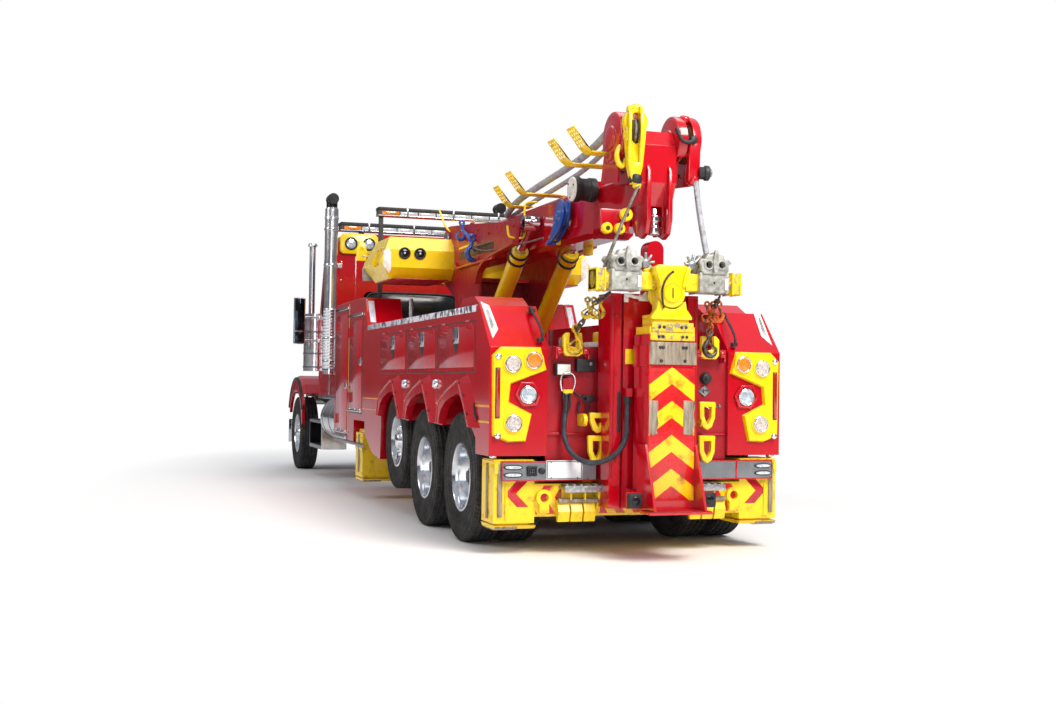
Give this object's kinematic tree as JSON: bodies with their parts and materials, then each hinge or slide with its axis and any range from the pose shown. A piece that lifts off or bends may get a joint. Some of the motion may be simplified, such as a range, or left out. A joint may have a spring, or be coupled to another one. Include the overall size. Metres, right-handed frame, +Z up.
{
  "type": "tow truck",
  "caption": "Conventional-cab recovery truck with side lockers, a slewing telescopic boom with lift cylinders, outriggers and a folded rear underlift with crossbar.",
  "frame": {"origin": "on the ground below the middle of the truck's length and width", "axes": "+X forward along the truck, +Y to its left, +Z up"},
  "size_m": [12.19, 2.9, 3.905],
  "materials": {
    "body_red": "gloss",
    "yellow": "gloss",
    "frame_black": "satin",
    "engine_grey": "matte",
    "stainless": "satin",
    "chrome": "polished",
    "cab_trim": "matte",
    "lamp_clear": "gloss",
    "tyre": "matte",
    "rubber": "satin"
  },
  "bodies": {
    "root": {"chassis_frame": "frame_black", "deck": "body_red", "engine": "engine_grey", "axles": "frame_black", "side_bodies": "body_red", "lamp_panels": "yellow", "rear_bumper": "stainless", "cab_shell": "body_red", "cab_interior": "cab_trim", "front_bumper": "chrome", "stacks_and_cleaners": "chrome", "mirrors": "chrome", "fuel_tanks": "chrome", "light_bars": "lamp_clear", "underlift_mast": "body_red", "outrigger_housings": "yellow", "tow_lugs": "yellow", "air_hose": "rubber"},
    "hood": {"hood": "body_red", "grille": "chrome"},
    "cab_door_left": {"cab_door_left": "body_red"},
    "knuckle_left": {"knuckle_left": "frame_black"},
    "wheel_front_left": {"wheel_front_left": "tyre"},
    "wheel_lift_left": {"wheel_lift_left": "tyre"},
    "wheel_middle_left": {"wheel_middle_left": "tyre"},
    "wheel_rear_left": {"wheel_rear_left": "tyre"},
    "lift_door_left_1": {"lift_door_left_1": "body_red"},
    "lift_door_left_2": {"lift_door_left_2": "body_red"},
    "lift_door_left_3": {"lift_door_left_3": "body_red"},
    "tall_door_left_1": {"tall_door_left_1": "body_red"},
    "tall_door_left_2": {"tall_door_left_2": "body_red"},
    "front_beam_left": {"front_beam_left": "yellow"},
    "front_leg_left": {"front_leg_left": "yellow"},
    "rear_beam_left": {"rear_beam_left": "yellow"},
    "rear_leg_left": {"rear_leg_left": "yellow"},
    "cab_door_right": {"cab_door_right": "body_red"},
    "knuckle_right": {"knuckle_right": "frame_black"},
    "wheel_front_right": {"wheel_front_right": "tyre"},
    "wheel_lift_right": {"wheel_lift_right": "tyre"},
    "wheel_middle_right": {"wheel_middle_right": "tyre"},
    "wheel_rear_right": {"wheel_rear_right": "tyre"},
    "lift_door_right_1": {"lift_door_right_1": "body_red"},
    "lift_door_right_2": {"lift_door_right_2": "body_red"},
    "lift_door_right_3": {"lift_door_right_3": "body_red"},
    "tall_door_right_1": {"tall_door_right_1": "body_red"},
    "tall_door_right_2": {"tall_door_right_2": "body_red"},
    "front_beam_right": {"front_beam_right": "yellow"},
    "front_leg_right": {"front_leg_right": "yellow"},
    "rear_beam_right": {"rear_beam_right": "yellow"},
    "rear_leg_right": {"rear_leg_right": "yellow"},
    "turret": {"turret": "body_red", "winch_cover": "yellow"},
    "boom": {"boom": "body_red"},
    "boom_extension": {"boom_extension": "body_red", "hook_block": "yellow"},
    "lift_barrels": {"lift_barrels": "yellow"},
    "lift_rods": {"lift_rods": "chrome"},
    "fold_arm": {"fold_arm": "body_red"},
    "stinger": {"stinger": "body_red"},
    "crossbar": {"crossbar": "yellow"}
  },
  "joints": [
    {"name": "turret_slew", "type": "hinge", "parent": "root", "child": "turret", "pos_m": [-1.4, 0, 1.33], "axis": [0, 0, 1], "range_deg": [-110, 110]},
    {"name": "boom_lift", "type": "hinge", "parent": "turret", "child": "boom", "pos_m": [-0.62, 0, 2.99], "axis": [0, 1, 0], "range_deg": [0, 60]},
    {"name": "boom_extend", "type": "slide", "parent": "boom", "child": "boom_extension", "axis": [-1, 0, 0], "range_m": [0, 2]},
    {"name": "ram_swing", "type": "hinge", "parent": "turret", "child": "lift_barrels", "pos_m": [-1.35, 0, 1.5], "axis": [0, 1, 0], "range_deg": [0, 43.35]},
    {"name": "ram_stroke", "type": "slide", "parent": "lift_barrels", "child": "lift_rods", "axis": [-0.7942, 0, 0.6076], "range_m": [0, 1.421]},
    {"name": "underlift_fold", "type": "hinge", "parent": "root", "child": "fold_arm", "pos_m": [-5.65, 0, 0.47], "axis": [0, -1, 0], "range_deg": [0, 90]},
    {"name": "underlift_extend", "type": "slide", "parent": "fold_arm", "child": "stinger", "axis": [0, 0, 1], "range_m": [0, 0.91]},
    {"name": "crossbar_swivel", "type": "hinge", "parent": "stinger", "child": "crossbar", "pos_m": [-5.75, 0, 2.07], "axis": [1, 0, 0], "range_deg": [-20, 20]},
    {"name": "hood_tilt", "type": "hinge", "parent": "root", "child": "hood", "pos_m": [5.9, 0, 0.805], "axis": [0, 1, 0], "range_deg": [0, 75]},
    {"name": "cab_door_left_swing", "type": "hinge", "parent": "root", "child": "cab_door_left", "pos_m": [4.036, 1.076, 2], "axis": [0, 0, -1], "range_deg": [0, 70]},
    {"name": "steer_left", "type": "hinge", "parent": "root", "child": "knuckle_left", "pos_m": [5.28, 0.915, 0.55], "axis": [0, 0, 1], "range_deg": [-35, 35]},
    {"name": "steer_right", "type": "hinge", "parent": "root", "child": "knuckle_right", "pos_m": [5.28, -0.915, 0.55], "axis": [0, 0, 1], "range_deg": [-35, 35]},
    {"name": "front_beam_left_slide", "type": "slide", "parent": "root", "child": "front_beam_left", "axis": [0, 1, 0], "range_m": [0, 0.7]},
    {"name": "front_leg_left_slide", "type": "slide", "parent": "front_beam_left", "child": "front_leg_left", "axis": [0, 0, -1], "range_m": [0, 0.2]},
    {"name": "rear_beam_left_slide", "type": "slide", "parent": "root", "child": "rear_beam_left", "axis": [0, 1, 0], "range_m": [0, 0.7]},
    {"name": "rear_leg_left_slide", "type": "slide", "parent": "rear_beam_left", "child": "rear_leg_left", "axis": [0, 0, -1], "range_m": [0, 0.2]},
    {"name": "lift_door_left_1_swing", "type": "hinge", "parent": "root", "child": "lift_door_left_1", "pos_m": [-1.77, 1.291, 1.872], "axis": [1, 0, 0], "range_deg": [0, 90]},
    {"name": "lift_door_left_2_swing", "type": "hinge", "parent": "root", "child": "lift_door_left_2", "pos_m": [-3.025, 1.291, 1.872], "axis": [1, 0, 0], "range_deg": [0, 90]},
    {"name": "lift_door_left_3_swing", "type": "hinge", "parent": "root", "child": "lift_door_left_3", "pos_m": [-4.26, 1.291, 1.872], "axis": [1, 0, 0], "range_deg": [0, 90]},
    {"name": "tall_door_left_1_swing", "type": "hinge", "parent": "root", "child": "tall_door_left_1", "pos_m": [1.556, 1.291, 1.5], "axis": [0, 0, -1], "range_deg": [0, 110]},
    {"name": "tall_door_left_2_swing", "type": "hinge", "parent": "root", "child": "tall_door_left_2", "pos_m": [0.646, 1.291, 1.5], "axis": [0, 0, -1], "range_deg": [0, 110]},
    {"name": "wheel_front_left_spin", "type": "hinge", "parent": "knuckle_left", "child": "wheel_front_left", "pos_m": [5.28, 1.085, 0.552], "axis": [0, 1, 0], "continuous": true},
    {"name": "wheel_lift_left_spin", "type": "hinge", "parent": "root", "child": "wheel_lift_left", "pos_m": [-1.73, 1.1, 0.745], "axis": [0, 1, 0], "continuous": true},
    {"name": "wheel_middle_left_spin", "type": "hinge", "parent": "root", "child": "wheel_middle_left", "pos_m": [-3.01, 0.955, 0.552], "axis": [0, 1, 0], "continuous": true},
    {"name": "wheel_rear_left_spin", "type": "hinge", "parent": "root", "child": "wheel_rear_left", "pos_m": [-4.3, 0.955, 0.552], "axis": [0, 1, 0], "continuous": true},
    {"name": "cab_door_right_swing", "type": "hinge", "parent": "root", "child": "cab_door_right", "pos_m": [4.036, -1.076, 2], "axis": [0, 0, 1], "range_deg": [0, 70]},
    {"name": "wheel_front_right_spin", "type": "hinge", "parent": "knuckle_right", "child": "wheel_front_right", "pos_m": [5.28, -1.085, 0.552], "axis": [0, 1, 0], "continuous": true},
    {"name": "wheel_lift_right_spin", "type": "hinge", "parent": "root", "child": "wheel_lift_right", "pos_m": [-1.73, -1.1, 0.745], "axis": [0, 1, 0], "continuous": true},
    {"name": "wheel_middle_right_spin", "type": "hinge", "parent": "root", "child": "wheel_middle_right", "pos_m": [-3.01, -0.955, 0.552], "axis": [0, 1, 0], "continuous": true},
    {"name": "wheel_rear_right_spin", "type": "hinge", "parent": "root", "child": "wheel_rear_right", "pos_m": [-4.3, -0.955, 0.552], "axis": [0, 1, 0], "continuous": true},
    {"name": "lift_door_right_1_swing", "type": "hinge", "parent": "root", "child": "lift_door_right_1", "pos_m": [-1.77, -1.291, 1.872], "axis": [-1, 0, 0], "range_deg": [0, 90]},
    {"name": "lift_door_right_2_swing", "type": "hinge", "parent": "root", "child": "lift_door_right_2", "pos_m": [-3.025, -1.291, 1.872], "axis": [-1, 0, 0], "range_deg": [0, 90]},
    {"name": "lift_door_right_3_swing", "type": "hinge", "parent": "root", "child": "lift_door_right_3", "pos_m": [-4.26, -1.291, 1.872], "axis": [-1, 0, 0], "range_deg": [0, 90]},
    {"name": "tall_door_right_1_swing", "type": "hinge", "parent": "root", "child": "tall_door_right_1", "pos_m": [1.556, -1.291, 1.5], "axis": [0, 0, 1], "range_deg": [0, 110]},
    {"name": "tall_door_right_2_swing", "type": "hinge", "parent": "root", "child": "tall_door_right_2", "pos_m": [0.646, -1.291, 1.5], "axis": [0, 0, 1], "range_deg": [0, 110]},
    {"name": "front_beam_right_slide", "type": "slide", "parent": "root", "child": "front_beam_right", "axis": [0, -1, 0], "range_m": [0, 0.7]},
    {"name": "front_leg_right_slide", "type": "slide", "parent": "front_beam_right", "child": "front_leg_right", "axis": [0, 0, -1], "range_m": [0, 0.2]},
    {"name": "rear_beam_right_slide", "type": "slide", "parent": "root", "child": "rear_beam_right", "axis": [0, -1, 0], "range_m": [0, 0.7]},
    {"name": "rear_leg_right_slide", "type": "slide", "parent": "rear_beam_right", "child": "rear_leg_right", "axis": [0, 0, -1], "range_m": [0, 0.2]}
  ],
  "couplings": [
    {"joint": "steer_right", "follows": "steer_left", "ratio": 1},
    {"joint": "ram_swing", "follows": "boom_lift", "ratio": 0.71422},
    {"joint": "ram_stroke", "follows": "boom_lift", "m_per_rad": 1.3478},
    {"joint": "underlift_extend", "follows": "underlift_fold", "m_per_rad": 0.57296}
  ]
}
